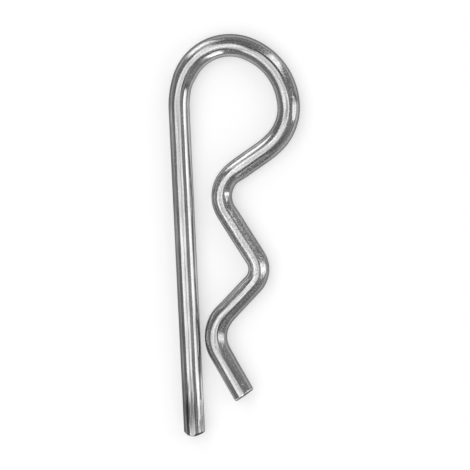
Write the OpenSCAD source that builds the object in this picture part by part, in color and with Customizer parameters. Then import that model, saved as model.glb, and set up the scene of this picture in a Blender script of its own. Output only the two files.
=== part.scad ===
// Hitch pin clip: one length of round spring wire, bent flat. A straight leg passes through the cross
// hole of a pin or shaft, the loop is the spring, and the wavy arm snaps around the outside of the shaft.
// The clip lies flat, with its leg along Y, its loop towards +Y and its arm on the +X side.

/* [Wire] */
// Diameter of the round wire
wire_d = 4; // [3:0.1:4.8]
// Height of the marks that the bending tool leaves where a bend starts and ends
mark_height = 0.03; // [0.02:0.01:0.1]

/* [Leg] */
// Length of the straight leg, from its tip to the start of the loop
leg_length = 61.1; // [54:0.1:90]
// Slant of the cropped tip, away from a square cut
tip_slant = 16; // [0:1:30]
// Radius that the cropping leaves on the long side of the tip
tip_round = 1.5; // [0.6:0.1:2]

/* [Loop] */
// Centre-line radius of the gentle bend that leads from the leg into the loop
entry_r = 16.8; // [13:0.1:22]
// Turn of that bend
entry_turn = 20; // [12:1:26]
// Centre-line radius over the crown of the loop
crown_r = 9.2; // [8.2:0.1:10.4]
// Turn over the crown
crown_turn = 92; // [84:1:98]
// Centre-line radius of the loop's shoulder, on the arm's side
shoulder_r = 12.1; // [10.5:0.1:14]
// Turn of the shoulder
shoulder_turn = 68; // [60:1:76]
// Centre-line radius of the last bend of the loop, which throws the arm back to the leg
throat_r = 9.4; // [7:0.1:12]
// Length of the straight neck between the loop and the upper hump
neck_length = 7.7; // [2:0.1:12]

/* [Upper hump] */
// Gap between the leg and the hump that closes the bay at its loop end
upper_gap = 3.2; // [1.5:0.1:5]
// Centre-line radius of this hump
upper_r = 5.5; // [4:0.1:7]
// Length of the straight flank between this hump and the bay
upper_flank_length = 10.2; // [6:0.1:15]

/* [Bay] */
// Clear width of the bay that seats the shaft, from the leg to its far side
bay_width = 9.5; // [7.5:0.1:12]
// Centre-line radius of the bay's bend
bay_r = 4; // [3:0.1:6]
// Length of the straight flank between the bay and the lower hump
lower_flank_length = 7.7; // [5:0.1:12]

/* [Lower hump] */
// Gap between the leg and the hump that rides over the shaft
lower_gap = 0.85; // [0.3:0.05:3]
// Centre-line radius of this hump
lower_r = 6.2; // [4:0.1:7.5]

/* [Tail] */
// Length of the straight tail that guides the shaft in
tail_length = 9.2; // [5:0.1:14]
// Angle at which the tail splays away from the leg
tail_splay = 27; // [15:1:40]
// Radius of the tumbled rim at the tail's end
tail_rim = 0.35; // [0.1:0.05:0.8]

/* [Hidden] */
$fn = 48;

// Turns are positive to the left, for a traveller along the wire who starts at the leg's tip
LEFT = 1;
RIGHT = -1;
// Heading of the leg, in degrees from +X
LEG_HEADING = 90;

wire_r = wire_d / 2;

// Direction to the left of a heading
function left_of(heading) = [-sin(heading), cos(heading)];

// The bends of the arm turn to alternate sides, and a straight of a given length joins each of them to the
// next. So any bend may lie nearer to the leg or further off, and the straights stay as long as they are.
function centre_below(c1, r1, x, r2, length) =
    [x, c1.y - sqrt(pow(r1 + r2, 2) + pow(length, 2) - pow(x - c1.x, 2))];
function straight_heading(c1, r1, side1, c2, r2) =
    atan2(c2.y - c1.y, c2.x - c1.x) + side1 * asin((r1 + r2) / norm(c2 - c1));

// Headings out of the bends of the loop, each of which runs into the next without a straight
entry_out = LEG_HEADING - entry_turn;
crown_out = entry_out - crown_turn;
shoulder_out = crown_out - shoulder_turn;

// Centres of the loop's bends
entry_c = [entry_r, leg_length];
crown_c = entry_c + (entry_r - crown_r) * left_of(entry_out);
shoulder_c = crown_c + (crown_r - shoulder_r) * left_of(crown_out);
throat_c = shoulder_c + (shoulder_r - throat_r) * left_of(shoulder_out);

// Centres of the arm's bends, set off from the leg by the gaps
upper_c = centre_below(throat_c, throat_r, wire_d + upper_gap + upper_r, upper_r, neck_length);
bay_c = centre_below(upper_c, upper_r, wire_d + bay_width - bay_r, bay_r, upper_flank_length);
lower_c = centre_below(bay_c, bay_r, wire_d + lower_gap + lower_r, lower_r, lower_flank_length);

// Headings of the arm's straights
neck_heading = straight_heading(throat_c, throat_r, RIGHT, upper_c, upper_r);
upper_flank_heading = straight_heading(upper_c, upper_r, LEFT, bay_c, bay_r);
lower_flank_heading = straight_heading(bay_c, bay_r, RIGHT, lower_c, lower_r);
tail_heading = tail_splay - LEG_HEADING;

// The bends in order from the leg: straight before it, centre, centre-line radius, side, headings in and out
bends = [
    [0, entry_c, entry_r, RIGHT, LEG_HEADING, entry_out],
    [0, crown_c, crown_r, RIGHT, entry_out, crown_out],
    [0, shoulder_c, shoulder_r, RIGHT, crown_out, shoulder_out],
    [0, throat_c, throat_r, RIGHT, shoulder_out, neck_heading],
    [neck_length, upper_c, upper_r, LEFT, neck_heading, upper_flank_heading],
    [upper_flank_length, bay_c, bay_r, RIGHT, upper_flank_heading, lower_flank_heading],
    [lower_flank_length, lower_c, lower_r, LEFT, lower_flank_heading, tail_heading]
];

// Reach of the wire, from points a degree apart along its bends and from its tail's end
function point_on(bend, heading) = bend[1] - bend[3] * bend[2] * left_of(heading);
bend_points = [
    for (bend = bends, step = [0 : 1 : abs(bend[5] - bend[4])]) point_on(bend, bend[4] + bend[3] * step)
];
tail_end = point_on(bends[len(bends) - 1], tail_heading) + tail_length * [cos(tail_heading), sin(tail_heading)];
reach_right = max(concat([for (p = bend_points) p.x], tail_end.x)) + wire_r;
reach_top = max([for (p = bend_points) p.y]) + wire_r;

// The cropping tool is round about an axis beside the wire, so that it rounds only the tip's long side
crop_axis = 1.5 * wire_r;
crop_margin = 0.02;
crop_rim = crop_axis + wire_r + crop_margin;
function crop_line(rho) = -tan(tip_slant) * (rho - crop_axis);
crop_corner = [crop_rim, crop_line(crop_rim)];
// Distance from the sharp corner to where its rounding starts
crop_tangent = tip_round / tan((90 - tip_slant) / 2);
round_c = crop_corner + [-tip_round, crop_tangent];
tip_low = round_c.y - tip_round;

// The part's origin is below the middle of its outline, on the surface that it lies on
origin = [(reach_right - wire_r) / 2, (reach_top + tip_low) / 2];

// A straight piece of wire along +Y
module straight(length) {
    rotate([-90, 0, 0]) cylinder(h = length, d = wire_d);
}

// Moves its children to the end of a bent piece
module past_bend(radius, side, turn) {
    translate([-side * radius, 0, 0]) rotate([0, 0, side * turn]) translate([side * radius, 0, 0]) children();
}

// A bent piece of wire that starts along +Y
module bent(radius, side, turn) {
    translate([-side * radius, 0, 0]) rotate([0, 0, side == LEFT ? 0 : 180 - turn])
        rotate_extrude(angle = turn) translate([radius, 0]) circle(d = wire_d);
}

// The mark of the bending tool, where a straight or a bend starts
module mark() {
    sphere(r = wire_r + mark_height);
}

// What the cropping tool takes off the tip
module cropped_away() {
    bottom = crop_corner.y - wire_d;
    top = round_c.y;
    translate([crop_axis, 0, 0]) rotate([-90, 0, 0]) rotate_extrude() difference() {
        translate([0, bottom]) square([crop_rim + wire_d, top - bottom]);
        polygon([
            [0, crop_line(0)],
            crop_corner + crop_tangent * [-cos(tip_slant), sin(tip_slant)],
            crop_corner + [0, crop_tangent],
            [crop_rim, top + wire_d],
            [0, top + wire_d]
        ]);
        translate(round_c) circle(r = tip_round);
    }
}

module leg() {
    difference() {
        translate([0, leg_length, 0]) mirror([0, 1, 0]) straight(leg_length + wire_d);
        cropped_away();
    }
}

module tail() {
    mark();
    difference() {
        straight(tail_length);
        translate([0, tail_length - tail_rim, 0]) rotate([-90, 0, 0]) rotate_extrude() difference() {
            translate([wire_r - tail_rim, 0]) square(2 * tail_rim);
            translate([wire_r - tail_rim, 0]) circle(r = tail_rim);
        }
    }
}

// The wire from one of its bends to the end of its tail, starting along +Y
module wire_from(i) {
    if (i == len(bends)) {
        tail();
    } else {
        length = bends[i][0];
        radius = bends[i][2];
        side = bends[i][3];
        turn = abs(bends[i][5] - bends[i][4]);
        if (length > 0) {
            mark();
            straight(length);
        }
        translate([0, length, 0]) {
            mark();
            bent(radius, side, turn);
            past_bend(radius, side, turn) wire_from(i + 1);
        }
    }
}

module clip_wire() {
    color([0.72, 0.73, 0.74]) translate([-origin.x, -origin.y, wire_r + mark_height]) {
        leg();
        translate([0, leg_length, 0]) wire_from(0);
    }
}

clip_wire();
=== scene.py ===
"""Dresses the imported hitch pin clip: bright plated spring wire that lies flat on a pale studio floor.

The wire is swept along its centre line, a chain of straights and bends that are tangent to each other. Its
two cut ends, the slight pressing of its bends and the flats that the bending pins leave in it are modelled.
Its plating is a procedural material that knows how far along and around the wire each point lies.
"""

import logging
import math
from dataclasses import dataclass, field
from enum import Enum
from functools import reduce
from typing import ClassVar, Sequence

import bpy
import numpy as np
from mathutils import Matrix, Vector

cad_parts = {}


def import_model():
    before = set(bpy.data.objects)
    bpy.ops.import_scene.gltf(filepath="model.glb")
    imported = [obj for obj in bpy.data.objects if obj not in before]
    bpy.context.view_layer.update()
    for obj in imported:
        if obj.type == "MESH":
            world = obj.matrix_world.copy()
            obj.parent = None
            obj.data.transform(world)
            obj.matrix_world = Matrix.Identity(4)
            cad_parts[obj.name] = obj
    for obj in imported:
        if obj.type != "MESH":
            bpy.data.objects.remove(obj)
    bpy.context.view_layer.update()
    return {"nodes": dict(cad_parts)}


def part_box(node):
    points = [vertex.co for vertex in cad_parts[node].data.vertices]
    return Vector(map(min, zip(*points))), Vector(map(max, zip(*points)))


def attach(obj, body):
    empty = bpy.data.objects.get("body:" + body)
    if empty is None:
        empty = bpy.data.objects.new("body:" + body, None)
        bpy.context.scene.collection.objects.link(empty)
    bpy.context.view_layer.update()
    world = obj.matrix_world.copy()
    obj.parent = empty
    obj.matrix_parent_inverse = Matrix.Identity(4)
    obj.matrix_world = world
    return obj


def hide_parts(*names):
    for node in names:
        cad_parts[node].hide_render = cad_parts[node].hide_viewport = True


MM = 0.001
CLIP_NODE = "clip_wire"

# Attributes of the wire's skin, which its finish reads
UNBENT = "unbent"
CUT_FACE = "cut_face"
SCUFF = "scuff"
PAINTED_EDGE_LIGHT = "painted_edge_light"
PRESSED = "pressed"

# How steeply the painted shade on the edge of a cut comes and goes, where 1 takes the whole edge
SHADE_STEEPNESS = 4.0
# The values between which noise mostly lies
NOISE_LOW, NOISE_HIGH = 0.35, 0.65

# An output of a node, which is linked to the inputs of others
Socket = bpy.types.NodeSocket

log = logging.getLogger("hitch_pin_clip")


class Side(Enum):
    """The side to which a bend turns, for a traveller along the wire who starts at the leg's tip."""

    LEFT = 1
    RIGHT = -1


@dataclass(frozen=True)
class Stretch:
    """A straight or a bend of the wire's centre line, in millimetres and radians.

    Attributes:
        name: What this stretch of the wire is called.
        length: Its length along the centre line.
        turn: How far it turns, positive to the left and 0 for a straight.
        swell: Width of the wire in the clip's plane, as a share of its diameter.
        scuff: How much handling and the bending dies have dulled its plating, from 0 to 1.
        inward: Which share of the extra width lies on the wire's right side, where 0.5 is both sides alike.
    """

    name: str
    length: float
    turn: float
    swell: float
    scuff: float
    inward: float = 0.5


def left_of(heading: float) -> np.ndarray:
    """Returns the direction to the left of a heading in radians."""
    return np.array([-math.sin(heading), math.cos(heading)])


def even_shares(count: int) -> np.ndarray:
    """Returns the shares from 0 to 1 in that many equal steps."""
    return np.linspace(0.0, 1.0, count + 1)


def eased(share: np.ndarray) -> np.ndarray:
    """Returns shares from 0 to 1, eased so that they leave 0 and reach 1 gently."""
    return share * share * (3.0 - 2.0 * share)


@dataclass(frozen=True)
class Round:
    """The circle that a bend's centre line follows, in the leg's frame and in millimetres.

    Attributes:
        centre: Its centre.
        radius: Its radius.
    """

    centre: tuple[float, float]
    radius: float

    def next_below(self, centre_x: float, radius: float, straight: float) -> "Round":
        """Places the next bend of the arm, which turns to the other side.

        Args:
            centre_x: Distance of its centre from the leg's axis.
            radius: Its centre-line radius.
            straight: Length of the straight between the two.

        Returns:
            The circle of the next bend.
        """
        across = centre_x - self.centre[0]
        drop = math.sqrt((self.radius + radius) ** 2 + straight**2 - across**2)
        return Round((centre_x, self.centre[1] - drop), radius)

    def heading_to(self, following: "Round", side: Side) -> float:
        """Finds the heading of the straight that joins this bend to the next one.

        Args:
            following: The next bend.
            side: The side to which this bend turns.

        Returns:
            The heading in radians.
        """
        step = np.subtract(following.centre, self.centre)
        lean = math.asin((self.radius + following.radius) / np.linalg.norm(step))
        return math.atan2(step[1], step[0]) + side.value * lean


@dataclass
class WireRoute:
    """The sizes of the wire's centre line, as the part's source has them, in millimetres and degrees.

    A radius is a centre line's, and a gap or the bay's width is the clear distance from the leg.
    """

    wire_d: float = 4.0
    leg_length: float = 61.1
    entry_r: float = 16.8
    entry_turn: float = 20.0
    crown_r: float = 9.2
    crown_turn: float = 92.0
    shoulder_r: float = 12.1
    shoulder_turn: float = 68.0
    throat_r: float = 9.4
    neck_length: float = 7.7
    upper_gap: float = 3.2
    upper_r: float = 5.5
    upper_flank_length: float = 10.2
    bay_width: float = 9.5
    bay_r: float = 4.0
    lower_flank_length: float = 7.7
    lower_gap: float = 0.85
    lower_r: float = 6.2
    tail_length: float = 9.2
    tail_splay: float = 27.0

    def stretches(self) -> list[Stretch]:
        """Lists the straights and bends in order from the leg's tip.

        Returns:
            The stretches, each of which starts where the last one ends.
        """
        up = math.pi / 2
        entry_out = up - math.radians(self.entry_turn)
        crown_out = entry_out - math.radians(self.crown_turn)
        shoulder_out = crown_out - math.radians(self.shoulder_turn)
        entry_c = np.array([self.entry_r, self.leg_length])
        crown_c = entry_c + (self.entry_r - self.crown_r) * left_of(entry_out)
        shoulder_c = crown_c + (self.crown_r - self.shoulder_r) * left_of(crown_out)
        throat_c = shoulder_c + (self.shoulder_r - self.throat_r) * left_of(shoulder_out)

        throat = Round((float(throat_c[0]), float(throat_c[1])), self.throat_r)
        upper_x = self.wire_d + self.upper_gap + self.upper_r
        upper = throat.next_below(upper_x, self.upper_r, self.neck_length)
        bay_x = self.wire_d + self.bay_width - self.bay_r
        bay = upper.next_below(bay_x, self.bay_r, self.upper_flank_length)
        lower_x = self.wire_d + self.lower_gap + self.lower_r
        lower = bay.next_below(lower_x, self.lower_r, self.lower_flank_length)

        neck = throat.heading_to(upper, Side.RIGHT)
        upper_flank = upper.heading_to(bay, Side.LEFT)
        lower_flank = bay.heading_to(lower, Side.RIGHT)
        tail = math.radians(self.tail_splay) - up

        def bend(name: str, radius: float, turn: float, **look: float) -> Stretch:
            """Returns a bend of that radius and turn, with its swell, its scuff and the inward share."""
            return Stretch(name, radius * abs(turn), turn, **look)

        return [
            Stretch("leg", self.leg_length, 0.0, swell=0.985, scuff=0.2),
            bend("entry", self.entry_r, entry_out - up, swell=0.99, scuff=0.25),
            bend("crown", self.crown_r, crown_out - entry_out, swell=1.06, scuff=0.45, inward=1.05),
            bend("shoulder", self.shoulder_r, shoulder_out - crown_out, swell=1.07, scuff=0.5, inward=1.05),
            bend("throat", self.throat_r, neck - shoulder_out, swell=1.05, scuff=0.5, inward=1.05),
            Stretch("neck", self.neck_length, 0.0, swell=1.04, scuff=0.5),
            bend("upper hump", self.upper_r, upper_flank - neck, swell=0.965, scuff=0.6),
            Stretch("upper flank", self.upper_flank_length, 0.0, swell=0.99, scuff=0.85),
            bend("bay", self.bay_r, lower_flank - upper_flank, swell=0.985, scuff=0.75),
            Stretch("lower flank", self.lower_flank_length, 0.0, swell=1.0, scuff=0.45),
            bend("lower hump", self.lower_r, tail - lower_flank, swell=1.045, scuff=0.55),
            Stretch("tail", self.tail_length, 0.0, swell=1.025, scuff=0.4),
        ]


@dataclass(frozen=True)
class Stations:
    """Cross-sections along the wire, as arrays with one entry for each.

    Attributes:
        centres: Centre of each, in the leg's frame, in millimetres.
        headings: Heading of the wire at each, in radians.
        along: Distance of each from the leg's tip, in millimetres.
        widths: Width of the wire at each, as a share of its diameter.
        shifts: How far to the right the section lies off the centre line, as a share of the diameter.
        scuffs: How dulled the plating is at each, from 0 to 1.
    """

    centres: np.ndarray
    headings: np.ndarray
    along: np.ndarray
    widths: np.ndarray
    shifts: np.ndarray
    scuffs: np.ndarray


def walk(stretches: Sequence[Stretch], step: float, blend: float) -> Stations:
    """Walks along the centre line and sets out evenly spaced cross-sections.

    Args:
        stretches: The straights and bends, in order.
        step: Greatest distance between two cross-sections, in millimetres.
        blend: Length over which the width goes over from one stretch to the next, in millimetres.

    Returns:
        The cross-sections, from the leg's tip to the tail's end.
    """
    start, heading, travelled = np.zeros(2), math.pi / 2, 0.0
    centres, headings, along = [], [], []
    for number, stretch in enumerate(stretches):
        count = max(2, math.ceil(stretch.length / step))
        shares = even_shares(count)[0 if number == 0 else 1 :]
        if stretch.turn == 0.0:
            direction = np.array([math.cos(heading), math.sin(heading)])
            points = start + np.outer(shares * stretch.length, direction)
            turned = np.full(len(shares), heading)
        else:
            reach = stretch.length / stretch.turn
            middle = start + reach * left_of(heading)
            turned = heading + shares * stretch.turn
            points = middle - reach * np.stack([-np.sin(turned), np.cos(turned)], axis=1)
        centres.append(points)
        headings.append(turned)
        along.append(travelled + shares * stretch.length)
        start, heading, travelled = points[-1], turned[-1], travelled + stretch.length

    distance = np.concatenate(along)
    widths = blended([stretch.swell for stretch in stretches], stretches, distance, blend)
    shifts = [(stretch.swell - 1.0) * (stretch.inward - 0.5) for stretch in stretches]
    shifts = blended(shifts, stretches, distance, blend)
    scuffs = blended([stretch.scuff for stretch in stretches], stretches, distance, blend)
    return Stations(np.concatenate(centres), np.concatenate(headings), distance, widths, shifts, scuffs)


def blended(
    values: Sequence[float], stretches: Sequence[Stretch], distance: np.ndarray, blend: float
) -> np.ndarray:
    """Spreads one value for each stretch over the whole wire, with smooth passages at the joints.

    Args:
        values: The value of each stretch.
        stretches: The stretches, in order.
        distance: Distances along the wire, in millimetres.
        blend: Length of each passage, in millimetres.

    Returns:
        The value at each distance.
    """
    spread = np.full(len(distance), values[0])
    joint = 0.0
    for stretch, before, after in zip(stretches, values, values[1:]):
        joint += stretch.length
        share = np.clip((distance - joint) / blend + 0.5, 0.0, 1.0)
        spread += (after - before) * eased(share)
    return spread


@dataclass
class CroppedTip:
    """The leg's tip: a slanted crop, rounded on its long side, in millimetres and degrees.

    Attributes:
        wire_r: The wire's radius.
        slant: How far the cut leans away from a square one.
        long_side_round: Radius of the rounding on the long side.
        round_reach: How far the rounding is followed towards its upright end, as a share of its radius.
        axis_share: Distance of the cropping tool's axis from the leg's, as a share of the wire's radius.
        tool_margin: How far the tool reaches beyond the wire.
        soft_edge: Radius of the cut's edge on its long side.
        burred_edge: Radius of its torn edge, on the short side.
        torn_start: Cosine of the place around the leg where the tearing starts.
        torn_growth: Span of cosines over which it reaches its full width.
        torn_share: Mean width of the torn edge, as a share of its radius.
        rags: Size, count around the leg and phase of each wave in that width.
        cut_power: Power by which the look of the cut gives way to that of the skin, across the edge.
    """

    wire_r: float = 2.0
    slant: float = 16.0
    long_side_round: float = 1.5
    round_reach: float = 0.999
    axis_share: float = 1.5
    tool_margin: float = 0.02
    soft_edge: float = 0.1
    burred_edge: float = 0.55
    torn_start: float = -0.3
    torn_growth: float = 0.5
    torn_share: float = 0.82
    rags: tuple[tuple[float, float, float], ...] = ((0.12, 9.0, 1.0), (0.06, 23.0, 0.0))
    cut_power: int = 2

    def corner(self) -> tuple[float, float]:
        """Returns the long side's sharp corner, as distance from the tool's axis and place along the leg."""
        rim = self.tool_axis() + self.wire_r + self.tool_margin
        return rim, self.cut_line(rim)

    def tool_axis(self) -> float:
        """Returns the distance of the cropping tool's axis from the leg's axis."""
        return self.axis_share * self.wire_r

    def cut_line(self, distance: float | np.ndarray) -> float | np.ndarray:
        """Returns where the slanted cut lies along the leg, at a distance from the tool's axis."""
        return -math.tan(math.radians(self.slant)) * (distance - self.tool_axis())

    def rounding(self) -> tuple[float, float]:
        """Finds the centre of the long side's rounding.

        Returns:
            Its distance from the tool's axis and its place along the leg.
        """
        rim, low = self.corner()
        tangent = self.long_side_round / math.tan(math.radians(90.0 - self.slant) / 2)
        return rim - self.long_side_round, low + tangent

    def lowest(self) -> float:
        """Returns the tip's lowest place along the leg."""
        return self.rounding()[1] - self.long_side_round

    def torn(self, cos: np.ndarray, sin: np.ndarray) -> np.ndarray:
        """Finds where around the leg the cut's edge is torn.

        Args:
            cos: Cosines of the points around the leg, 1 on its right side.
            sin: Sines of the same points.

        Returns:
            Shares, 0 on the clean long side and up to 1 on the short side, ragged as torn metal is.
        """
        turn = np.arctan2(sin, cos)
        ragged = np.full(len(turn), self.torn_share)
        for size, count, phase in self.rags:
            ragged += size * np.sin(count * turn + phase)
        return eased(np.clip((cos - self.torn_start) / self.torn_growth, 0.0, 1.0)) * ragged

    def face(self, across: np.ndarray, up: np.ndarray) -> np.ndarray:
        """Finds where the cut face lies along the leg.

        Args:
            across: Distances to the right of the leg's axis.
            up: Heights above it.

        Returns:
            The places along the leg, 0 on the leg's axis.
        """
        distance = np.hypot(across - self.tool_axis(), up)
        centre, centre_place = self.rounding()
        starts = centre - self.long_side_round * math.sin(math.radians(self.slant))
        inside = np.clip(distance - centre, -self.long_side_round, self.long_side_round * self.round_reach)
        rounded = centre_place - np.sqrt(self.long_side_round**2 - inside**2)
        return np.where(distance > starts, rounded, self.cut_line(distance))


@dataclass
class ShearedEnd:
    """The tail's end: a shear cut, a little out of square, with a tumbled rim, in millimetres and degrees.

    Attributes:
        wire_r: The wire's radius.
        rim: Radius of the rim.
        dish: How far the middle of the face is sunk in.
        highlight_share: Which share of the rim, from the skin on, carries a painted highlight.
        slant: How far the cut is out of square, so that the wire is longer on its right side.
        tilt: How far the face looks upwards.
        cut_power: Power by which the look of the skin gives way to that of the cut, across the rim.
    """

    wire_r: float = 2.0
    rim: float = 0.32
    dish: float = 0.05
    highlight_share: float = 0.45
    slant: float = 5.5
    tilt: float = 4.5
    cut_power: int = 4

    def skew(self, across: np.ndarray, up: np.ndarray) -> np.ndarray:
        """Finds how far the cut lies beyond a square one.

        Args:
            across: Distances to the right of the tail's axis.
            up: Heights above it.

        Returns:
            The distances along the tail.
        """
        return across * math.tan(math.radians(self.slant)) - up * math.tan(math.radians(self.tilt))

    def rim_light_and_shade(self, share: float) -> float:
        """Finds the painted highlight and the painted shade on the rim.

        Args:
            share: Place on the rim, from 0 at the drawn skin to 1 at the cut face.

        Returns:
            1 where the painted highlight is brightest, and below 0 beside the face, where painted shade
            darkens it.
        """
        if share < self.highlight_share:
            return math.sin(math.pi * share / self.highlight_share)
        return -min(1.0, SHADE_STEEPNESS * (share - self.highlight_share))

    def face(self, across: np.ndarray, up: np.ndarray) -> np.ndarray:
        """Finds how far the cut face lies beyond the tail's end.

        Args:
            across: Distances to the right of the tail's axis.
            up: Heights above it.

        Returns:
            The distances, negative where the face is dished inwards.
        """
        share = np.clip(np.hypot(across, up) / (self.wire_r - self.rim), 0.0, 1.0)
        return -self.dish * (1.0 - share**2)


@dataclass(frozen=True)
class PressedFlat:
    """A place where a bending pin has pressed the wire's upper side flat, in millimetres and degrees.

    Attributes:
        along: Its middle, from the leg's tip.
        length: Its length along the wire.
        lean: Where it faces, from straight up towards the wire's left side.
        depth: How deep it is pressed.
    """

    along: float
    length: float
    lean: float
    depth: float

    def press(
        self, across: np.ndarray, up: np.ndarray, along: float, radius: float
    ) -> tuple[np.ndarray, np.ndarray, np.ndarray]:
        """Presses a cross-section of the wire.

        Args:
            across: Distances of its points to the right of the wire's axis.
            up: Their heights above it.
            along: The section's distance from the leg's tip.
            radius: The wire's radius.

        Returns:
            The new distances to the right, the new heights, and how deep each point is pressed, as a share of
            the flat's depth.
        """
        nearness = max(0.0, 1.0 - (2.0 * (along - self.along) / self.length) ** 2)
        right, high = -math.sin(math.radians(self.lean)), math.cos(math.radians(self.lean))
        proud = np.clip(across * right + up * high - (radius - self.depth * nearness), 0.0, None)
        return across - proud * right, up - proud * high, proud / self.depth


@dataclass
class Rings:
    """The rings of a swept skin, from one end to the other. Each list has one array for each ring."""

    places: list[np.ndarray] = field(default_factory=list)
    unbent: list[np.ndarray] = field(default_factory=list)
    cut: list[np.ndarray] = field(default_factory=list)
    scuff: list[np.ndarray] = field(default_factory=list)
    painted_edge_light: list[np.ndarray] = field(default_factory=list)
    pressed: list[np.ndarray] = field(default_factory=list)

    def add(
        self,
        places: np.ndarray,
        unbent: np.ndarray,
        cut: float,
        scuff: float,
        painted_edge_light: float | np.ndarray = 0.0,
        pressed: float | np.ndarray = 0.0,
    ) -> None:
        """Adds a ring.

        Args:
            places: Its points in the leg's frame.
            unbent: The same points in the straight wire, before it is bent.
            cut: 1 on a cut face and 0 on the wire's drawn skin.
            scuff: How dulled the plating is, from 0 to 1.
            painted_edge_light: Painted highlight on an edge, from 0 to 1; below 0, painted shade on an edge,
                which on a torn edge also stands for the torn metal.
            pressed: How deep the skin is pressed in, from 0 to 1.
        """
        self.places.append(places)
        self.unbent.append(unbent)
        self.cut.append(np.full(len(places), cut))
        self.scuff.append(np.full(len(places), scuff))
        self.painted_edge_light.append(np.broadcast_to(painted_edge_light, len(places)))
        self.pressed.append(np.broadcast_to(pressed, len(places)))

    @staticmethod
    def closed(layer: list[np.ndarray]) -> np.ndarray:
        """Returns one list's values in a row, followed by the means of its first and of its last ring."""
        return np.concatenate([*layer, [layer[0].mean(axis=0)], [layer[-1].mean(axis=0)]])


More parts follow.
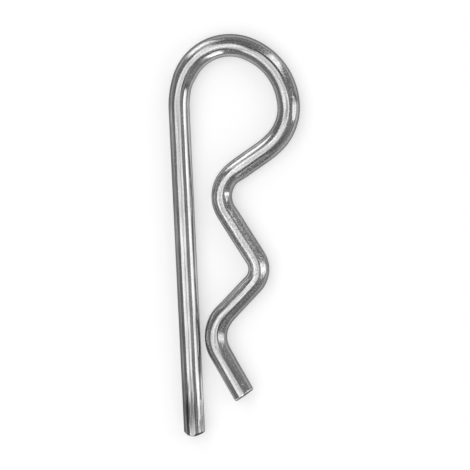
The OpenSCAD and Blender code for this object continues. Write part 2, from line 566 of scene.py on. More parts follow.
@dataclass
class SpringWire:
    """The clip's one piece: round spring wire, bent flat, with its two cut ends. Lengths are in millimetres.

    Attributes:
        route: Sizes of its centre line.
        tip: The leg's cut end.
        tail_end: The tail's cut end.
        flats: Where the bending pins have pressed its upper side.
        mark_height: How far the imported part's tool marks stand proud of the wire.
        around: Points in a ring.
        step: Greatest distance between two rings of the drawn skin.
        blend: Length over which the width goes over from one stretch to the next.
        face_rings: Rings on each cut face.
        rim_steps: Rings across the edge of each cut.
        tip_zone: Distance from the leg's tip at which the drawn skin's rings start.
        tail_zone: Distance from the tail's end at which they stop.
    """

    route: WireRoute = field(default_factory=WireRoute)
    tip: CroppedTip = field(default_factory=CroppedTip)
    tail_end: ShearedEnd = field(default_factory=ShearedEnd)
    flats: tuple[PressedFlat, ...] = (
        PressedFlat(along=72.6, length=9.0, lean=36.0, depth=0.09),
        PressedFlat(along=96.8, length=6.0, lean=30.0, depth=0.07),
        PressedFlat(along=117.6, length=3.0, lean=31.0, depth=0.09),
        PressedFlat(along=133.2, length=5.6, lean=25.0, depth=0.11),
        PressedFlat(along=148.6, length=5.6, lean=26.0, depth=0.1),
    )
    mark_height: float = 0.03
    around: int = 96
    step: float = 0.3
    blend: float = 3.0
    face_rings: int = 9
    rim_steps: int = 12
    tip_zone: float = 4.0
    tail_zone: float = 1.5

    def build(self) -> bpy.types.Object:
        """Sweeps the wire's skin and makes it an object in the clip's frame.

        Returns:
            The object, with the attributes that its finish reads.
        """
        stretches = self.route.stretches()
        log.info("centre line: %s", ", ".join(f"{part.name} {part.length:.1f} mm" for part in stretches))
        rings = Rings()
        stations = walk(stretches, self.step, self.blend)
        self.cap_tip(rings, stations)
        self.sweep_skin(rings, stations)
        self.cap_tail(rings, stations)
        return self.skin_object(rings)

    def circle(self) -> tuple[np.ndarray, np.ndarray]:
        """Returns the cosines and sines of the points around a ring, from the wire's right side upwards."""
        angles = np.arange(self.around) * 2.0 * math.pi / self.around
        return np.cos(angles), np.sin(angles)

    def place(
        self, centre: np.ndarray, heading: float, across: np.ndarray, up: np.ndarray, ahead: np.ndarray
    ) -> np.ndarray:
        """Places points of a cross-section in the leg's frame.

        Args:
            centre: The cross-section's centre.
            heading: Heading of the wire there, in radians.
            across: Distances to the right of the centre.
            up: Heights above it.
            ahead: Distances along the wire from it.

        Returns:
            The points, in millimetres.
        """
        right = -left_of(heading)
        forward = np.array([math.cos(heading), math.sin(heading)])
        flat = centre + np.outer(across, right) + np.outer(ahead, forward)
        return np.column_stack([flat, up])

    def cap_tip(self, rings: Rings, stations: Stations) -> None:
        """Adds the tip's cut face, its broken edge and the rings that lead from it to the leg.

        Args:
            rings: The rings so far.
            stations: The wire's cross-sections.
        """
        tip, origin, heading = self.tip, stations.centres[0], stations.headings[0]
        cos, sin = self.circle()
        torn = tip.torn(cos, sin)
        edge = tip.soft_edge + (tip.burred_edge - tip.soft_edge) * torn
        flat = tip.wire_r - edge
        width, scuff = stations.widths[0], stations.scuffs[0]

        def ring(
            reach: float | np.ndarray, places: np.ndarray, cut: float, painted_edge_light: float | np.ndarray = 0.0
        ) -> None:
            """Adds a ring around the leg.

            Args:
                reach: Its radius.
                places: Its places along the leg.
                cut: 1 on the cut face and 0 on the drawn skin.
                painted_edge_light: Below 0 where the edge is torn, which darkens it as torn metal and as
                    painted shade.
            """
            across, up = reach * width * cos, reach * sin
            points = self.place(origin, heading, across, up, places)
            rings.add(points, np.column_stack([across, places, up]), cut, scuff, painted_edge_light)

        for share in even_shares(self.face_rings)[1:]:
            reach = flat * share
            ring(reach, tip.face(reach * cos, reach * sin), 1.0)
        brink = tip.face(flat * cos, flat * sin)
        for share in even_shares(self.rim_steps)[1:]:
            swing = share * math.pi / 2
            reach, places = flat + edge * math.sin(swing), brink + edge * (1.0 - math.cos(swing))
            # The torn edge is darkened, as torn metal and as painted shade
            painted_edge_light = -torn * min(1.0, SHADE_STEEPNESS * (1.0 - share))
            ring(reach, places, 1.0 - share**tip.cut_power, painted_edge_light)
        start = brink + edge
        for share in even_shares(math.ceil(self.tip_zone / self.step))[1:-1]:
            ring(tip.wire_r, start + (self.tip_zone - start) * share, 0.0)

    def sweep_skin(self, rings: Rings, stations: Stations) -> None:
        """Adds the rings of the wire's drawn skin, from behind the tip to shortly before the tail's end.

        Args:
            rings: The rings so far.
            stations: The wire's cross-sections.
        """
        cos, sin = self.circle()
        last = stations.along[-1] - self.tail_zone
        for centre, heading, along, width, shift, scuff in zip(
            stations.centres,
            stations.headings,
            stations.along,
            stations.widths,
            stations.shifts,
            stations.scuffs,
        ):
            if not self.tip_zone <= along <= last:
                continue
            across = self.tip.wire_r * (width * cos + 2.0 * shift)
            up = self.tip.wire_r * sin
            pressed = np.zeros(self.around)
            for flat in self.flats:
                across, up, deep = flat.press(across, up, along, self.tip.wire_r)
                pressed = pressed + deep
            level = np.zeros(self.around)
            points = self.place(centre, heading, across, up, level)
            rings.add(points, np.column_stack([across, level + along, up]), 0.0, scuff, pressed=pressed)

    def cap_tail(self, rings: Rings, stations: Stations) -> None:
        """Adds the last rings of the tail, its rounded rim and its dished cut face.

        Args:
            rings: The rings so far.
            stations: The wire's cross-sections.
        """
        end, centre, heading = self.tail_end, stations.centres[-1], stations.headings[-1]
        cos, sin = self.circle()
        width, length, scuff = stations.widths[-1], stations.along[-1], stations.scuffs[-1]

        def ring(
            reach: float, beyond: float | np.ndarray, cut: float, painted_edge_light: float = 0.0, skewed: float = 1.0
        ) -> None:
            """Adds a ring around the tail.

            Args:
                reach: Its radius.
                beyond: How far it lies beyond a square cut at the tail's end.
                cut: 1 on the cut face and 0 on the drawn skin.
                painted_edge_light: Its painted highlight where above 0, and its painted shade where below 0.
                skewed: How far it is out of square, as a share of the cut's own skew.
            """
            across, up = reach * width * cos, reach * sin
            ahead = beyond + skewed * end.skew(across, up)
            points = self.place(centre, heading, across, up, ahead)
            rings.add(points, np.column_stack([across, ahead + length, up]), cut, scuff, painted_edge_light)

        for share in even_shares(math.ceil(self.tail_zone / self.step))[1:-1]:
            ring(end.wire_r, -end.rim * share - self.tail_zone * (1.0 - share), 0.0, skewed=share)
        # The rim carries a painted highlight and, beside the face, painted shade
        for share in even_shares(self.rim_steps):
            swing = share * math.pi / 2
            reach = end.wire_r - end.rim * (1.0 - math.cos(swing))
            ring(reach, -end.rim * (1.0 - math.sin(swing)), share**end.cut_power, end.rim_light_and_shade(share))
        for share in 1.0 - even_shares(self.face_rings)[1:-1]:
            reach = (end.wire_r - end.rim) * share
            ring(reach, end.face(reach * cos, reach * sin), 1.0)

    def skin_object(self, rings: Rings) -> bpy.types.Object:
        """Joins the rings into one closed skin and sets it into the clip's frame.

        Args:
            rings: The rings, from the middle of the tip's face to the middle of the tail's face.

        Returns:
            The object.
        """
        low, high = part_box(CLIP_NODE)
        shift = np.array(
            [
                low.x / MM + self.tip.wire_r + self.mark_height,
                low.y / MM - self.tip.lowest(),
                (low.z + high.z) / 2 / MM,
            ]
        )
        mesh = bpy.data.meshes.new("clip_wire_skin")
        mesh.from_pydata((rings.closed(rings.places) + shift) * MM, [], self.faces(len(rings.places)))
        mesh.validate()
        mesh.shade_smooth()
        unbent = mesh.attributes.new(UNBENT, "FLOAT_VECTOR", "POINT")
        unbent.data.foreach_set("vector", rings.closed(rings.unbent).astype(np.float32).ravel())
        layers = {CUT_FACE: rings.cut, SCUFF: rings.scuff, PAINTED_EDGE_LIGHT: rings.painted_edge_light, PRESSED: rings.pressed}
        for name, layer in layers.items():
            mask = mesh.attributes.new(name, "FLOAT", "POINT")
            mask.data.foreach_set("value", rings.closed(layer).astype(np.float32))
        wire = bpy.data.objects.new("spring_wire", mesh)
        bpy.context.scene.collection.objects.link(wire)
        return wire

    def faces(self, ring_count: int) -> list[tuple[int, ...]]:
        """Lists the faces of the closed skin.

        Args:
            ring_count: How many rings it has.

        Returns:
            The faces, as numbers of points, each facing outwards.
        """
        faces: list[tuple[int, ...]] = []
        tip_middle = ring_count * self.around
        tail_middle = tip_middle + 1
        last = (ring_count - 1) * self.around
        for spot in range(self.around):
            after = (spot + 1) % self.around
            faces.append((tip_middle, spot, after))
            faces.append((tail_middle, last + after, last + spot))
            for ring in range(0, last, self.around):
                following = ring + self.around
                faces.append((ring + spot, following + spot, following + after, ring + after))
        return faces

    def dress(self, wire: bpy.types.Object, finish: "PlatedSteel") -> None:
        """Gives the wire its finish and its place in the frame.

        Args:
            wire: The object that build returned.
            finish: The finish.
        """
        wire.data.materials.append(finish.material())
        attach(wire, "root")
        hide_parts(CLIP_NODE)


class NodeSheet:
    """A short way to write the nodes of a material, a lamp or the world."""

    def __init__(self, owner: bpy.types.Material | bpy.types.Light | bpy.types.World) -> None:
        """Clears the nodes.

        Args:
            owner: The material, lamp or world whose nodes are written.
        """
        owner.use_nodes = True
        self.tree = owner.node_tree
        self.tree.nodes.clear()

    def node(
        self, kind: str, sockets: dict[str | int, object] | None = None, **settings: object
    ) -> bpy.types.Node:
        """Adds a node.

        Args:
            kind: The node's type.
            sockets: Values for its inputs, or outputs of other nodes to link to them.
            settings: Values for its own properties.

        Returns:
            The node.
        """
        node = self.tree.nodes.new(kind)
        for name, value in settings.items():
            setattr(node, name, value)
        for socket, value in (sockets or {}).items():
            if isinstance(value, Socket):
                self.tree.links.new(value, node.inputs[socket])
            else:
                node.inputs[socket].default_value = value
        return node

    def mask(self, name: str) -> Socket:
        """Returns the value that the skin's attribute of that name has."""
        return self.node("ShaderNodeAttribute", attribute_name=name).outputs["Fac"]

    def maths(self, operation: str, first: object, second: object = 0.0) -> Socket:
        """Returns the output of a Math node."""
        return self.node("ShaderNodeMath", {0: first, 1: second}, operation=operation).outputs["Value"]

    def product(self, *factors: object) -> Socket:
        """Returns the product of sockets and numbers."""
        return reduce(lambda first, second: self.maths("MULTIPLY", first, second), factors)

    def total(self, *terms: object) -> Socket:
        """Returns the sum of sockets and numbers."""
        return reduce(lambda first, second: self.maths("ADD", first, second), terms)

    def ramp(self, value: object, start: float, end: float, low: float, high: float) -> Socket:
        """Returns value, mapped from start..end to low..high and held there."""
        sockets = {"Value": value, "From Min": start, "From Max": end, "To Min": low, "To Max": high}
        return self.node("ShaderNodeMapRange", sockets, clamp=True).outputs["Result"]

    def grey(self, tone: Socket) -> Socket:
        """Returns the grey of that tone."""
        sockets = {"Red": tone, "Green": tone, "Blue": tone}
        return self.node("ShaderNodeCombineColor", sockets).outputs["Color"]


@dataclass(frozen=True)
class SkinNoise:
    """Noise over the straight wire, which shapes and shades its skin.

    Attributes:
        stretch: Factor for distances along the wire, which draws the features out lengthwise if it is small.
        scale: Features per millimetre.
        detail: Octaves.
        height: Height of its relief, in millimetres.
        dark: Tone where it is low, as a share of the plating's.
        light: Tone where it is high.
    """

    stretch: float
    scale: float
    detail: float
    height: float = 0.0
    dark: float = 1.0
    light: float = 1.0

    def write(self, sheet: NodeSheet, where: Socket) -> Socket:
        """Writes the noise.

        Args:
            sheet: The material's nodes.
            where: The point in the straight wire, in millimetres.

        Returns:
            The noise, around 0.5.
        """
        point = sheet.node("ShaderNodeMapping", {"Vector": where, "Scale": (1.0, self.stretch, 1.0)})
        sockets = {"Vector": point.outputs["Vector"], "Scale": self.scale, "Detail": self.detail}
        return sheet.node("ShaderNodeTexNoise", sockets).outputs["Fac"]


@dataclass(frozen=True)
class Treatment:
    """How a place that is cut, dull, pressed or torn, or that bears painted light or painted shade on an
    edge, differs from clean plating.

    Attributes:
        tone: Its reflectance, as a share of the plating's.
        roughness: Roughness that it has on top of the plating's.
    """

    tone: float
    roughness: float


@dataclass(frozen=True)
class WearAndPaintedLight:
    """A dull or bright mark on the skin, in millimetres: real wear for a few, painted shade and painted light
    for most.

    Attributes:
        name: What the mark is and where it lies.
        across: Its middle, to the right of the wire's axis as seen from above.
        along: Its middle, from the leg's tip.
        width: Its width.
        length: Its length along the wire.
        tone: Reflectance in it, as a share of the clean plating's.
        fray: How ragged its outline is along the draw lines, as a share of its size.
        core: Share of its size within which it has its full tone.
        rim: Share of its size beyond which nothing of it is left.
    """

    name: str
    across: float
    along: float
    width: float
    length: float
    tone: float
    fray: float = 0.4
    core: ClassVar[float] = 0.45
    rim: ClassVar[float] = 1.1

    def write(self, sheet: NodeSheet, where: Socket, lines: Socket) -> Socket:
        """Writes the mark on the upper and lower side of the skin.

        Args:
            sheet: The material's nodes.
            where: The point in the straight wire, in millimetres.
            lines: Noise that frays its outline.

        Returns:
            Its tone, 1 outside it.
        """
        size = (2.0 / self.width, 2.0 / self.length, 0.0)
        middle = (-self.across * size[0], -self.along * size[1], 0.0)
        # Not a mapping node: the renderer has no room for one in each of so many marks
        sockets = {0: where, 1: size, 2: middle}
        spot = sheet.node("ShaderNodeVectorMath", sockets, operation="MULTIPLY_ADD", label=self.name)
        reach = sheet.node("ShaderNodeVectorMath", {0: spot.outputs["Vector"]}, operation="LENGTH")
        fraying = sheet.ramp(lines, NOISE_LOW, NOISE_HIGH, -self.fray, self.fray)
        frayed = sheet.total(reach.outputs["Value"], fraying)
        return sheet.ramp(frayed, self.core, self.rim, self.tone, 1.0)


@dataclass(frozen=True)
class PlatedSteel:
    """Bright zinc plating over drawn spring wire.

    Attributes:
        grey: Reflectance of clean plating.
        edge_tint: How much of its reflection is left where it is seen at a grazing angle.
        roughness: Roughness of clean plating.
        draw_lines: The broad lines that the drawing die leaves.
        hairlines: The fine lines between them.
        grain: The plating's grain.
        ripples: The long, slow ripples of the wire's surface.
        patches: Its duller and brighter patches.
        patch_roughness: Roughness of the dullest and of the brightest patches, as a share of the plating's.
        dust: The noise that scatters dull specks.
        dust_shift: What is added to it on clean and on scuffed plating, where more of them are.
        speck_range: Dust at which a speck starts and at which it is full.
        frost_tone: How much the grain of scuffed plating darkens and lightens it.
        frost_range: Grain at which it does so in full.
        painted_flank_shade_band: Where the painted shade on the clip's outer flank gives way, to the right of
            the axis in millimetres.
        painted_flank_shade_tone: Tone of that painted shade, which darkens the flank's reflections, as a
            share of the plating's.
        pressed_full: Share of a flat's depth from which on the skin counts as pressed.
        cut: A cut face.
        speck: A dull speck.
        pressed: Where a bending pin has pressed the skin.
        painted_edge_light: The painted highlight on the tail's rim.
        torn: A darkened edge: the tip's torn edge, dark as torn metal and as painted shade, and the painted
            shade beside the tail's cut face.
        wear_and_painted_light: Marks on the skin, a few of real wear and most of painted shade and painted
            light.
    """

    grey: float = 0.405
    edge_tint: float = 0.3
    roughness: float = 0.11
    draw_lines: SkinNoise = SkinNoise(stretch=0.02, scale=1.8, detail=2.0, height=0.008, dark=0.8, light=1.16)
    hairlines: SkinNoise = SkinNoise(stretch=0.03, scale=6.0, detail=2.0, height=0.002, dark=0.86, light=1.1)
    grain: SkinNoise = SkinNoise(stretch=0.7, scale=3.6, detail=2.0, height=0.004)
    ripples: SkinNoise = SkinNoise(stretch=0.7, scale=0.22, detail=1.0, height=0.05)
    patches: SkinNoise = SkinNoise(stretch=0.35, scale=0.5, detail=4.0, dark=0.9, light=1.06)
    patch_roughness: tuple[float, float] = (1.25, 0.85)
    dust: SkinNoise = SkinNoise(stretch=0.8, scale=4.6, detail=1.0)
    dust_shift: tuple[float, float] = (-0.2, 0.05)
    speck_range: tuple[float, float] = (0.44, 0.6)
    frost_tone: float = 0.34
    frost_range: tuple[float, float] = (0.3, 0.7)
    painted_flank_shade_band: tuple[float, float] = (-1.65, -1.2)
    painted_flank_shade_tone: float = 0.75
    pressed_full: float = 0.4
    cut: Treatment = Treatment(tone=0.35, roughness=0.25)
    speck: Treatment = Treatment(tone=1.1, roughness=0.17)
    pressed: Treatment = Treatment(tone=0.92, roughness=0.07)
    painted_edge_light: Treatment = Treatment(tone=2.2, roughness=0.22)
    torn: Treatment = Treatment(tone=0.15, roughness=0.3)
    wear_and_painted_light: tuple[WearAndPaintedLight, ...] = (
        # The leg's tip, smeared and scratched where it was cropped, with painted shade and painted light
        # where the cropped skin reflects differently
        WearAndPaintedLight("crop_smear", -0.3, 5.2, 2.8, 6.0, 0.4, fray=0.22),
        WearAndPaintedLight("crop_smear_trail", -0.4, 9.5, 1.6, 6.0, 0.72),
        WearAndPaintedLight("tip_painted_shade", -0.2, 2.6, 2.0, 3.6, 0.7, fray=0.6),
        WearAndPaintedLight("tip_edge_shade", -0.92, 3.5, 0.5, 9.0, 0.5),
        WearAndPaintedLight("smear_edge", -0.85, 7.6, 0.7, 6.0, 0.66),
        WearAndPaintedLight("smear_painted_light", 0.5, 5.4, 0.6, 5.5, 1.5),
        WearAndPaintedLight("streak_edge_painted_shade", 0.84, 4.6, 0.36, 11.0, 0.5),
        WearAndPaintedLight("tip_scratch", 1.15, 2.1, 0.35, 2.6, 0.5),
        WearAndPaintedLight("second_tip_scratch", 0.85, 1.5, 0.25, 1.6, 0.6),
        WearAndPaintedLight("third_tip_scratch", 1.62, 2.8, 0.3, 2.4, 0.6),
        WearAndPaintedLight("crop_shade", -1.3, 4.5, 1.3, 15.0, 0.6),
        # The leg: a long scrape, and painted shade and painted light on its flanks and its band; the dark
        # inner-flank patch is a painted reflection of the gap beside the lower hump
        WearAndPaintedLight("inner_flank_painted_light", 1.5, 8.8, 0.9, 6.0, 2.2),
        WearAndPaintedLight("inner_flank_shade", 1.32, 19.4, 0.8, 8.0, 0.56),
        WearAndPaintedLight("leg_scrape", -0.3, 32.0, 0.25, 60.0, 0.8),
        WearAndPaintedLight("leg_flank_painted_shade", -1.55, 30.0, 0.9, 80.0, 0.8),
        WearAndPaintedLight("leg_inner_flank_painted_light", 1.65, 30.0, 0.9, 68.0, 1.5),
        WearAndPaintedLight("leg_flank_painted_light", 1.5, 47.0, 0.5, 26.0, 1.25),
        WearAndPaintedLight("leg_band_painted_light", 0.72, 35.0, 0.4, 16.0, 1.22),
        # The entry: a dark spot, thin dark lines that are partly draw scores and partly painted shade, and
        # painted light on its band and flank
        WearAndPaintedLight("entry_dark_spot", 1.0, 65.6, 0.9, 2.2, 0.45, fray=0.2),
        WearAndPaintedLight("entry_score_painted_shade", 0.76, 64.0, 0.5, 7.0, 0.46),
        WearAndPaintedLight("entry_flank_painted_light", 1.3, 62.5, 0.5, 6.0, 1.35),
        WearAndPaintedLight("entry_flank_shade", -1.42, 65.0, 0.7, 10.0, 0.72),
        WearAndPaintedLight("entry_painted_light", 0.22, 60.2, 0.5, 8.0, 1.3),
        WearAndPaintedLight("entry_middle_score_painted_shade", 0.3, 66.9, 0.5, 5.0, 0.46),
        # The crown: thin dark lines that are partly draw scores and partly painted shade trimming its
        # highlights, and painted light
        WearAndPaintedLight("crown_score_painted_shade", 0.1, 76.0, 0.2, 26.0, 0.9),
        WearAndPaintedLight("crown_painted_light", 0.2, 75.6, 1.0, 14.0, 1.14),
        WearAndPaintedLight("crown_inner_score_painted_shade", 0.58, 74.0, 0.5, 17.0, 0.66),
        WearAndPaintedLight("crown_outer_score_painted_shade", -0.72, 74.9, 0.6, 9.0, 0.5, fray=0.2),
        WearAndPaintedLight("crown_inner_painted_light", 1.2, 72.8, 0.8, 3.0, 1.6),
        WearAndPaintedLight("crown_exit_score_painted_shade", 0.86, 78.8, 0.45, 7.0, 0.5),
        # The shoulder and the throat: nicks painted as glints, a patch of painted shade that moves the
        # throat's highlight, and thin dark lines that are partly draw scores and partly painted shade
        WearAndPaintedLight("shoulder_entry_score_painted_shade", 0.15, 82.2, 0.6, 5.0, 0.42),
        WearAndPaintedLight("shoulder_score_painted_shade", -0.02, 87.0, 0.5, 17.0, 0.56),
        WearAndPaintedLight("shoulder_inner_score_painted_shade", 1.14, 87.0, 0.4, 17.0, 0.74),
        WearAndPaintedLight("pinch_nick_painted_glint", -1.1, 85.0, 0.3, 1.0, 1.7),
        WearAndPaintedLight("shoulder_exit_score_painted_shade", -0.02, 92.4, 0.55, 4.5, 0.6),
        WearAndPaintedLight("shoulder_nick_painted_glint", -0.7, 94.75, 1.1, 0.5, 2.2),
        WearAndPaintedLight("pin_painted_shade", -1.0, 95.0, 1.7, 2.2, 0.5, fray=0.2),
        WearAndPaintedLight("throat_score_painted_shade", 0.5, 96.6, 0.42, 7.0, 0.5),
        WearAndPaintedLight("throat_shade", -1.0, 96.4, 0.7, 4.0, 0.8),
        WearAndPaintedLight("second_throat_score_painted_shade", -0.25, 96.6, 0.4, 5.0, 0.75),
        # The neck: painted shade that dims a reflected streak, thin dark lines that are partly draw scores
        # and partly painted shade, and painted light
        WearAndPaintedLight("neck_shade", -1.0, 107.5, 1.2, 10.0, 0.74),
        WearAndPaintedLight("neck_flank_painted_light", 1.56, 107.5, 0.6, 9.0, 1.3),
        WearAndPaintedLight("neck_score_painted_shade", 0.84, 107.5, 0.4, 9.0, 0.68),
        WearAndPaintedLight("neck_exit_score_painted_shade", 0.56, 114.0, 0.5, 5.0, 0.76),
        WearAndPaintedLight("neck_exit_shade", -0.9, 112.2, 0.6, 4.5, 0.72),
        WearAndPaintedLight("neck_painted_light", 0.36, 103.0, 1.1, 10.0, 1.22),
        # The whole arm: painted light on its inner flank, against the floor's shadow in its reflection, and
        # painted shade on its right edge
        WearAndPaintedLight("arm_inner_flank_painted_light", 1.65, 138.0, 0.9, 56.0, 1.12),
        WearAndPaintedLight("arm_edge_shade", 2.0, 116.0, 0.5, 84.0, 0.68, fray=0.2),
        # The upper hump and flank: a nick painted as a bright glint, thin dark lines that are partly draw
        # scores and partly painted shade, and painted light
        WearAndPaintedLight("hump_nick_painted_glint", -1.0, 118.1, 1.2, 1.0, 1.5),
        WearAndPaintedLight("upper_hump_flank_painted_light", 1.5, 118.5, 0.8, 8.0, 1.22),
        WearAndPaintedLight("flank_score_painted_shade", 0.5, 124.0, 0.2, 14.0, 0.6),
        WearAndPaintedLight("flank_edge_score_painted_shade", -0.25, 125.5, 0.6, 13.0, 0.82),
        WearAndPaintedLight("upper_flank_painted_light", -1.4, 124.5, 0.6, 12.0, 1.2),
        # The bay: painted light and painted shade that shape and shift its highlight
        WearAndPaintedLight("bay_painted_light", -0.85, 135.0, 1.8, 3.6, 1.3),
        WearAndPaintedLight("bay_painted_shade", -0.05, 132.8, 0.6, 8.5, 0.52),
        WearAndPaintedLight("bay_middle_painted_shade", 0.46, 134.4, 0.6, 6.5, 0.76),
        WearAndPaintedLight("bay_inner_painted_light", 1.06, 134.0, 0.5, 5.5, 2.1),
        WearAndPaintedLight("bay_exit_score_painted_shade", 0.66, 138.6, 0.5, 5.0, 0.64),
        WearAndPaintedLight("bay_exit_painted_light", -0.32, 139.8, 0.5, 5.0, 1.35),
        # The lower flank and hump: thin dark lines that are partly draw scores and partly painted shade,
        # patches of painted shade, and painted light, also on the hump's side that faces the leg
        WearAndPaintedLight("lower_flank_score_painted_shade", 0.6, 141.5, 0.5, 9.0, 0.66),
        WearAndPaintedLight("lower_flank_painted_light", 1.2, 141.5, 1.0, 9.0, 1.28),
        WearAndPaintedLight("lower_flank_shade", -1.3, 141.5, 0.9, 9.0, 0.82),
        WearAndPaintedLight("hump_entry_score_painted_shade", -0.2, 146.2, 0.6, 5.5, 0.46),
        WearAndPaintedLight("hump_inner_score_painted_shade", 0.8, 146.2, 0.7, 6.0, 0.72),
        WearAndPaintedLight("hump_exit_painted_light", -0.1, 151.4, 0.8, 3.6, 1.4),
        WearAndPaintedLight("hump_painted_shade", 0.6, 149.0, 1.7, 9.0, 0.84),
        WearAndPaintedLight("hump_flank_painted_light", 1.6, 148.5, 0.7, 9.0, 1.35),
        # The tail: a dark line that is partly a draw score and partly painted shade, and painted light
        WearAndPaintedLight("tail_score_painted_shade", -0.1, 157.0, 0.45, 15.0, 0.4),
        WearAndPaintedLight("tail_painted_light", 0.6, 156.0, 1.0, 14.0, 1.15),
        WearAndPaintedLight("tail_outer_painted_light", -1.35, 156.0, 0.6, 14.0, 1.32),
        WearAndPaintedLight("tail_inner_painted_light", 1.52, 156.0, 0.5, 14.0, 1.3),
    )

    def material(self) -> bpy.types.Material:
        """Builds the material.

        Returns:
            The material, for a mesh that has all attributes of the wire's skin.
        """
        material = bpy.data.materials.new("plated_steel")
        sheet = NodeSheet(material)
        where = sheet.node("ShaderNodeAttribute", attribute_name=UNBENT).outputs["Vector"]
        across = sheet.node("ShaderNodeSeparateXYZ", {"Vector": where}).outputs["X"]
        cut, scuff, painted_edge_light, pressed = (sheet.mask(name) for name in (CUT_FACE, SCUFF, PAINTED_EDGE_LIGHT, PRESSED))
        draw, hairline, grain, ripple, patch, dust = (
            noise.write(sheet, where)
            for noise in (self.draw_lines, self.hairlines, self.grain, self.ripples, self.patches, self.dust)
        )
        dust = sheet.total(dust, sheet.ramp(scuff, 0.0, 1.0, *self.dust_shift))
        treated = (
            (cut, self.cut),
            (sheet.ramp(dust, *self.speck_range, 0.0, 1.0), self.speck),
            (sheet.ramp(pressed, 0.0, self.pressed_full, 0.0, 1.0), self.pressed),
            # Painted highlight on the tail's rim; the darkened torn edge of the tip and the painted shade
            # beside the tail's cut face
            (sheet.ramp(painted_edge_light, 0.0, 1.0, 0.0, 1.0), self.painted_edge_light),
            (sheet.ramp(painted_edge_light, -1.0, 0.0, 1.0, 0.0), self.torn),
        )

        relief = (
            (draw, self.draw_lines),
            (hairline, self.hairlines),
            (grain, self.grain),
            (ripple, self.ripples),
        )
        height = sheet.total(*(sheet.product(layer, noise.height) for layer, noise in relief))
        bump = sheet.node("ShaderNodeBump", {"Height": height, "Distance": MM, "Strength": 1.0})

        shades = ((patch, self.patches), (draw, self.draw_lines), (hairline, self.hairlines))
        frost = sheet.product(scuff, sheet.ramp(grain, *self.frost_range, -self.frost_tone, self.frost_tone))
        tone = sheet.product(
            self.grey,
            *(sheet.ramp(layer, NOISE_LOW, NOISE_HIGH, noise.dark, noise.light) for layer, noise in shades),
            sheet.total(frost, 1.0),
            # Painted shade on the outer flank, which darkens its reflections
            sheet.ramp(across, *self.painted_flank_shade_band, self.painted_flank_shade_tone, 1.0),
            *(sheet.ramp(mask, 0.0, 1.0, 1.0, treatment.tone) for mask, treatment in treated),
        )
        # Each mark darkens or lightens the plating's colour: real wear for a few, painted shade and painted
        # light for most
        for wear_and_light_mark in self.wear_and_painted_light:
            tone = sheet.product(tone, wear_and_light_mark.write(sheet, where, hairline))
        rough = sheet.total(
            sheet.product(sheet.ramp(patch, NOISE_LOW, NOISE_HIGH, *self.patch_roughness), self.roughness),
            *(sheet.product(mask, treatment.roughness) for mask, treatment in treated),
        )

        skin = sheet.node(
            "ShaderNodeBsdfPrincipled",
            {
                "Metallic": 1.0,
                "Base Color": sheet.grey(tone),
                "Roughness": rough,
                "Specular Tint": (self.edge_tint, self.edge_tint, self.edge_tint, 1.0),
                "Normal": bump.outputs["Normal"],
            },
        )
        sheet.node("ShaderNodeOutputMaterial", {"Surface": skin.outputs["BSDF"]})
        return material


@dataclass(frozen=True)
class PaleFloor:
    """The plain pale floor that the clip lies on.

    Attributes:
        radius: Its radius in metres.
        albedo: How much light it returns to the room.
        white: How much light it shows to the camera and in reflections, where 1 is white under full light.
        plain_share: Which share of that white is its own, and takes no shadow.
        segments: Corners of its rim.
        gap: How far it lies below the clip, in millimetres.
    """

    radius: float = 2.5
    albedo: float = 0.8
    white: float = 1.0
    plain_share: float = 0.45
    segments: int = 64
    gap: float = 0.02

    def build(self) -> bpy.types.Object:
        """Builds the floor just below the clip.

        Returns:
            The floor.
        """
        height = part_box(CLIP_NODE)[0].z - self.gap * MM
        turns = [2.0 * math.pi * spot / self.segments for spot in range(self.segments)]
        rim = [(self.radius * math.cos(turn), self.radius * math.sin(turn), height) for turn in turns]
        mesh = bpy.data.meshes.new("floor")
        mesh.from_pydata(rim, [], [tuple(range(self.segments))])
        floor = bpy.data.objects.new("floor", mesh)
        bpy.context.scene.collection.objects.link(floor)
        mesh.materials.append(self.material())
        return floor

    def material(self) -> bpy.types.Material:
        """Builds a matt white, which shows as white to the camera and in the metal.

        Returns:
            The material.
        """
        material = bpy.data.materials.new("pale_floor")
        sheet = NodeSheet(material)
        path = sheet.node("ShaderNodeLightPath")
        seen = sheet.maths("MAXIMUM", path.outputs["Is Camera Ray"], path.outputs["Is Glossy Ray"])
        seen = sheet.maths("MAXIMUM", seen, path.outputs["Is Transmission Ray"])
        tone = sheet.ramp(seen, 0.0, 1.0, self.albedo, self.white)
        matt = sheet.node("ShaderNodeBsdfDiffuse", {"Color": sheet.grey(tone)}).outputs["BSDF"]
        plain = sheet.node("ShaderNodeEmission", {"Strength": self.white}).outputs["Emission"]
        share = sheet.product(seen, self.plain_share)
        floor = sheet.node("ShaderNodeMixShader", {0: share, 1: matt, 2: plain})
        sheet.node("ShaderNodeOutputMaterial", {"Surface": floor.outputs["Shader"]})
        return material


class Face(Enum):
    """The outline of a lamp's face."""

    RECTANGLE = "RECTANGLE"
    ELLIPSE = "ELLIPSE"


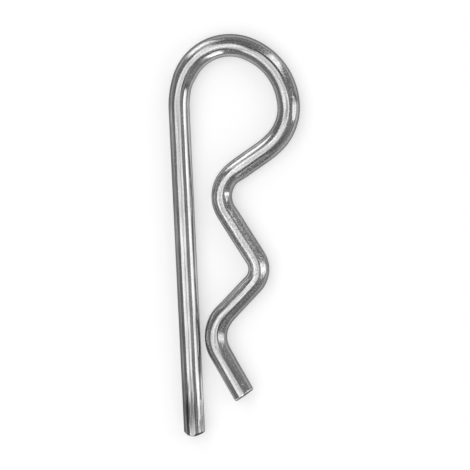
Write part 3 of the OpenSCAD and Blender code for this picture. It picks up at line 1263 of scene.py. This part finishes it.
@dataclass(frozen=True)
class SoftLamp:
    """A soft studio lamp that faces the clip, given by the part of the sky that it fills, in degrees.

    Attributes:
        name: Its name.
        bearing: Its direction seen from above, from the picture's right towards its top.
        high: How far its nearer end is from the zenith.
        low: How far its farther end is from the zenith.
        width: How wide it is, across that direction.
        radiance: How bright its face is, where a white card under full light is 1.
        twist: How far its long axis is turned away from the zenith's direction.
        near_end: Brightness of the end that is nearer to the zenith, as a share of its radiance.
        far_end: Brightness of the end that is farther from it.
        crest: Where along its length it is brightest, from 0 at the far end to 1 at the near end.
        soft_edge: Share of its width and length, on each side, over which its cloth fades to the rim.
        face: Outline of its face.
    """

    name: str
    bearing: float
    high: float
    low: float
    width: float
    radiance: float
    twist: float = 0.0
    near_end: float = 1.0
    far_end: float = 1.0
    crest: float = 0.5
    soft_edge: float = 0.06
    face: ClassVar[Face] = Face.RECTANGLE

    def build(self, distance: float, turn: float) -> bpy.types.Object:
        """Builds the lamp.

        Args:
            distance: Its distance from the clip, in metres.
            turn: How far the picture's axes are turned from the clip's, in radians.

        Returns:
            The lamp.
        """
        middle = math.radians((self.high + self.low) / 2)
        bearing = math.radians(self.bearing) + turn
        level = math.sin(middle)
        aim = Vector((math.cos(bearing) * level, math.sin(bearing) * level, math.cos(middle)))
        light = bpy.data.lights.new(self.name, "AREA")
        light.shape = self.face.value
        light.size = 2.0 * distance * math.tan(math.radians(self.width) / 2)
        light.size_y = 2.0 * distance * math.tan(math.radians(self.low - self.high) / 2)
        area = light.size * light.size_y * (math.pi / 4 if self.face is Face.ELLIPSE else 1.0)
        light.energy = self.radiance * math.pi * area
        self.dress(light)
        lamp = bpy.data.objects.new(self.name, light)
        lamp.location = aim * distance
        facing = Matrix.Rotation(bearing + math.pi / 2, 3, "Z") @ Matrix.Rotation(middle, 3, "X")
        lamp.rotation_euler = (facing @ Matrix.Rotation(math.radians(self.twist), 3, "Z")).to_euler()
        lamp.visible_camera = False
        bpy.context.scene.collection.objects.link(lamp)
        return lamp

    def dress(self, light: bpy.types.Light) -> None:
        """Gives the lamp's face its fall-off.

        Args:
            light: The lamp's light.
        """
        sheet = NodeSheet(light)
        spot = sheet.node("ShaderNodeNewGeometry").outputs["Parametric"]
        parts = sheet.node("ShaderNodeSeparateXYZ", {"Vector": spot})
        glow = self.face_glow(sheet, parts.outputs["X"], parts.outputs["Y"])
        face = sheet.node("ShaderNodeEmission", {"Strength": glow})
        sheet.node("ShaderNodeOutputLight", {"Surface": face.outputs["Emission"]})

    def face_glow(self, sheet: NodeSheet, across: Socket, along: Socket) -> Socket:
        """Writes the brightness of the lamp's face.

        Args:
            sheet: The lamp's nodes.
            across: Place across the face, from 0 to 1.
            along: Place along the face, from 0 to 1.

        Returns:
            The brightness, as a share of the radiance.
        """
        glow = sheet.ramp(along, 0.0, self.crest, self.far_end, 1.0)
        glow = sheet.product(glow, sheet.ramp(along, self.crest, 1.0, 1.0, self.near_end))
        for place in (across, along):
            inset = sheet.maths("SUBTRACT", 0.5, sheet.maths("ABSOLUTE", sheet.maths("SUBTRACT", place, 0.5)))
            glow = sheet.product(glow, sheet.ramp(inset, 0.0, self.soft_edge, 0.0, 1.0))
        return glow


@dataclass(frozen=True)
class DishLamp(SoftLamp):
    """A round soft lamp whose face is dimmer around its core and towards its rim.

    Attributes:
        core_shift: Place of the core, from the middle towards the zenith, as a share of the lamp's radius.
        core_glow: Brightness of the core.
        core_radius: Radius of the core, as a share of the lamp's.
        rim_start: Radius at which the rim starts, as a share of the lamp's.
        rim_glow: Brightness of the rim.
        face: Outline of its face.
    """

    core_shift: float = 0.22
    core_glow: float = 0.55
    core_radius: float = 0.5
    rim_start: float = 0.8
    rim_glow: float = 0.6
    face: ClassVar[Face] = Face.ELLIPSE

    def face_glow(self, sheet: NodeSheet, across: Socket, along: Socket) -> Socket:
        """Writes the brightness of the lamp's face.

        Args:
            sheet: The lamp's nodes.
            across: Place across the face, from 0 to 1.
            along: Place along the face, from 0 to 1.

        Returns:
            The brightness, as a share of the radiance.
        """

        def reach(shift: float) -> Socket:
            """Writes the distance from a spot on the long axis.

            Args:
                shift: Place of that spot, from the middle towards the zenith, as a share of the radius.

            Returns:
                The distance, as a share of the radius.
            """
            side = sheet.maths("POWER", sheet.maths("SUBTRACT", across, 0.5), 2.0)
            ahead = sheet.maths("POWER", sheet.maths("SUBTRACT", along, 0.5 + shift / 2), 2.0)
            return sheet.product(sheet.maths("SQRT", sheet.total(side, ahead)), 2.0)

        core = sheet.ramp(reach(self.core_shift), 0.0, self.core_radius, self.core_glow, 1.0)
        return sheet.product(core, sheet.ramp(reach(0.0), self.rim_start, 1.0, 1.0, self.rim_glow))


@dataclass(frozen=True)
class Studio:
    """The room that the clip is lit in: a grey surround, a large overhead dish, four strips and two fills.

    Attributes:
        horizon: Brightness of the surround at the horizon.
        ceiling: Its brightness overhead.
        ceiling_start: How high the ceiling starts, as the sine of its elevation.
        pale_wall: How much brighter the surround is on its pale side, and darker on the other.
        pale_wall_bearing: Direction of the pale side, from the picture's right towards its top, in degrees.
        distance: Distance of the lamps from the clip, in metres.
        lamps: The lamps.
    """

    horizon: float = 0.57
    ceiling: float = 0.33
    ceiling_start: float = 0.95
    pale_wall: float = 0.06
    pale_wall_bearing: float = 40.0
    distance: float = 1.2
    lamps: tuple[SoftLamp, ...] = (
        DishLamp("overhead_dish", 200.0, -8.5, 57.5, 67.0, 1.8),
        SoftLamp("upper_left_strip", 119.0, 43.0, 95.0, 22.0, 2.6, twist=30.0, near_end=0.6, far_end=0.45),
        SoftLamp("upper_right_strip", 45.5, 26.0, 90.0, 13.0, 2.5, near_end=0.7, far_end=0.5, crest=0.68),
        SoftLamp("right_strip", 2.0, 45.0, 80.0, 18.0, 2.6, twist=-8.0, far_end=0.35, crest=0.65),
        SoftLamp("right_fill", 357.0, 10.0, 46.0, 24.0, 0.18),
        SoftLamp("upper_left_fill", 120.0, 20.0, 46.0, 12.0, 1.3),
        SoftLamp(
            "lower_strip", 292.0, 41.0, 86.0, 20.0, 2.8, twist=-10.0, near_end=0.35, far_end=0.6, crest=0.4
        ),
    )

    def build(self, turn: float) -> list[bpy.types.Object]:
        """Builds the surround and the lamps.

        Args:
            turn: How far the picture's axes are turned from the clip's, in radians.

        Returns:
            The lamps.
        """
        world = bpy.data.worlds.new("grey_surround")
        sheet = NodeSheet(world)
        skyward = sheet.node("ShaderNodeTexCoord").outputs["Generated"]
        parts = sheet.node("ShaderNodeSeparateXYZ", {"Vector": skyward})
        tone = sheet.ramp(parts.outputs["Z"], 0.0, self.ceiling_start, self.horizon, self.ceiling)
        bearing = math.radians(self.pale_wall_bearing) + turn
        for axis, share in (("X", math.cos(bearing)), ("Y", math.sin(bearing))):
            tone = sheet.total(tone, sheet.product(parts.outputs[axis], self.pale_wall * share))
        room = sheet.node("ShaderNodeBackground", {"Strength": tone})
        sheet.node("ShaderNodeOutputWorld", {"Surface": room.outputs["Background"]})
        bpy.context.scene.world = world
        return [lamp.build(self.distance, turn) for lamp in self.lamps]


@dataclass(frozen=True)
class OverheadCamera:
    """The camera, straight above the clip and turned so that the leg leans a little to the left.

    Attributes:
        height: Its height above the middle of the wire, in metres.
        frame_width: Width of the picture at the wire, in millimetres.
        lean: How far the leg leans to the left, in degrees.
        middle: The point of the clip's frame in the middle of the picture, in millimetres.
        sensor_width: Width of its sensor, in millimetres.
    """

    height: float = 0.65
    frame_width: float = 88.125
    lean: float = 2.75
    middle: tuple[float, float] = (-0.989, -0.234)
    sensor_width: float = 36.0

    def build(self) -> bpy.types.Object:
        """Builds the camera and makes it the scene's.

        Returns:
            The camera.
        """
        camera = bpy.data.cameras.new("overhead")
        camera.sensor_width = self.sensor_width
        camera.sensor_fit = "HORIZONTAL"
        camera.lens = self.sensor_width * self.height / (self.frame_width * MM)
        low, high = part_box(CLIP_NODE)
        view = bpy.data.objects.new("overhead", camera)
        view.location = (self.middle[0] * MM, self.middle[1] * MM, (low.z + high.z) / 2 + self.height)
        view.rotation_euler = (0.0, 0.0, -math.radians(self.lean))
        bpy.context.scene.collection.objects.link(view)
        bpy.context.scene.camera = view
        return view


def main() -> None:
    """Builds the clip, its floor, its lamps and its camera."""
    logging.basicConfig(level=logging.INFO, format="%(name)s: %(message)s")
    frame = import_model()
    log.info("frame with the nodes %s", sorted(frame["nodes"]))

    clip = SpringWire()
    wire = clip.build()
    clip.dress(wire, PlatedSteel())
    log.info("%s: %d faces", wire.name, len(wire.data.polygons))

    floor = PaleFloor().build()
    log.info("%s: on the stage", floor.name)
    camera = OverheadCamera()
    view = camera.build()
    log.info("%s: %.2f m above the clip", view.name, camera.height)
    for lamp in Studio().build(-math.radians(camera.lean)):
        log.info("%s: lit", lamp.name)
    bpy.context.scene.view_settings.view_transform = "Standard"


if __name__ == "__main__":
    main()
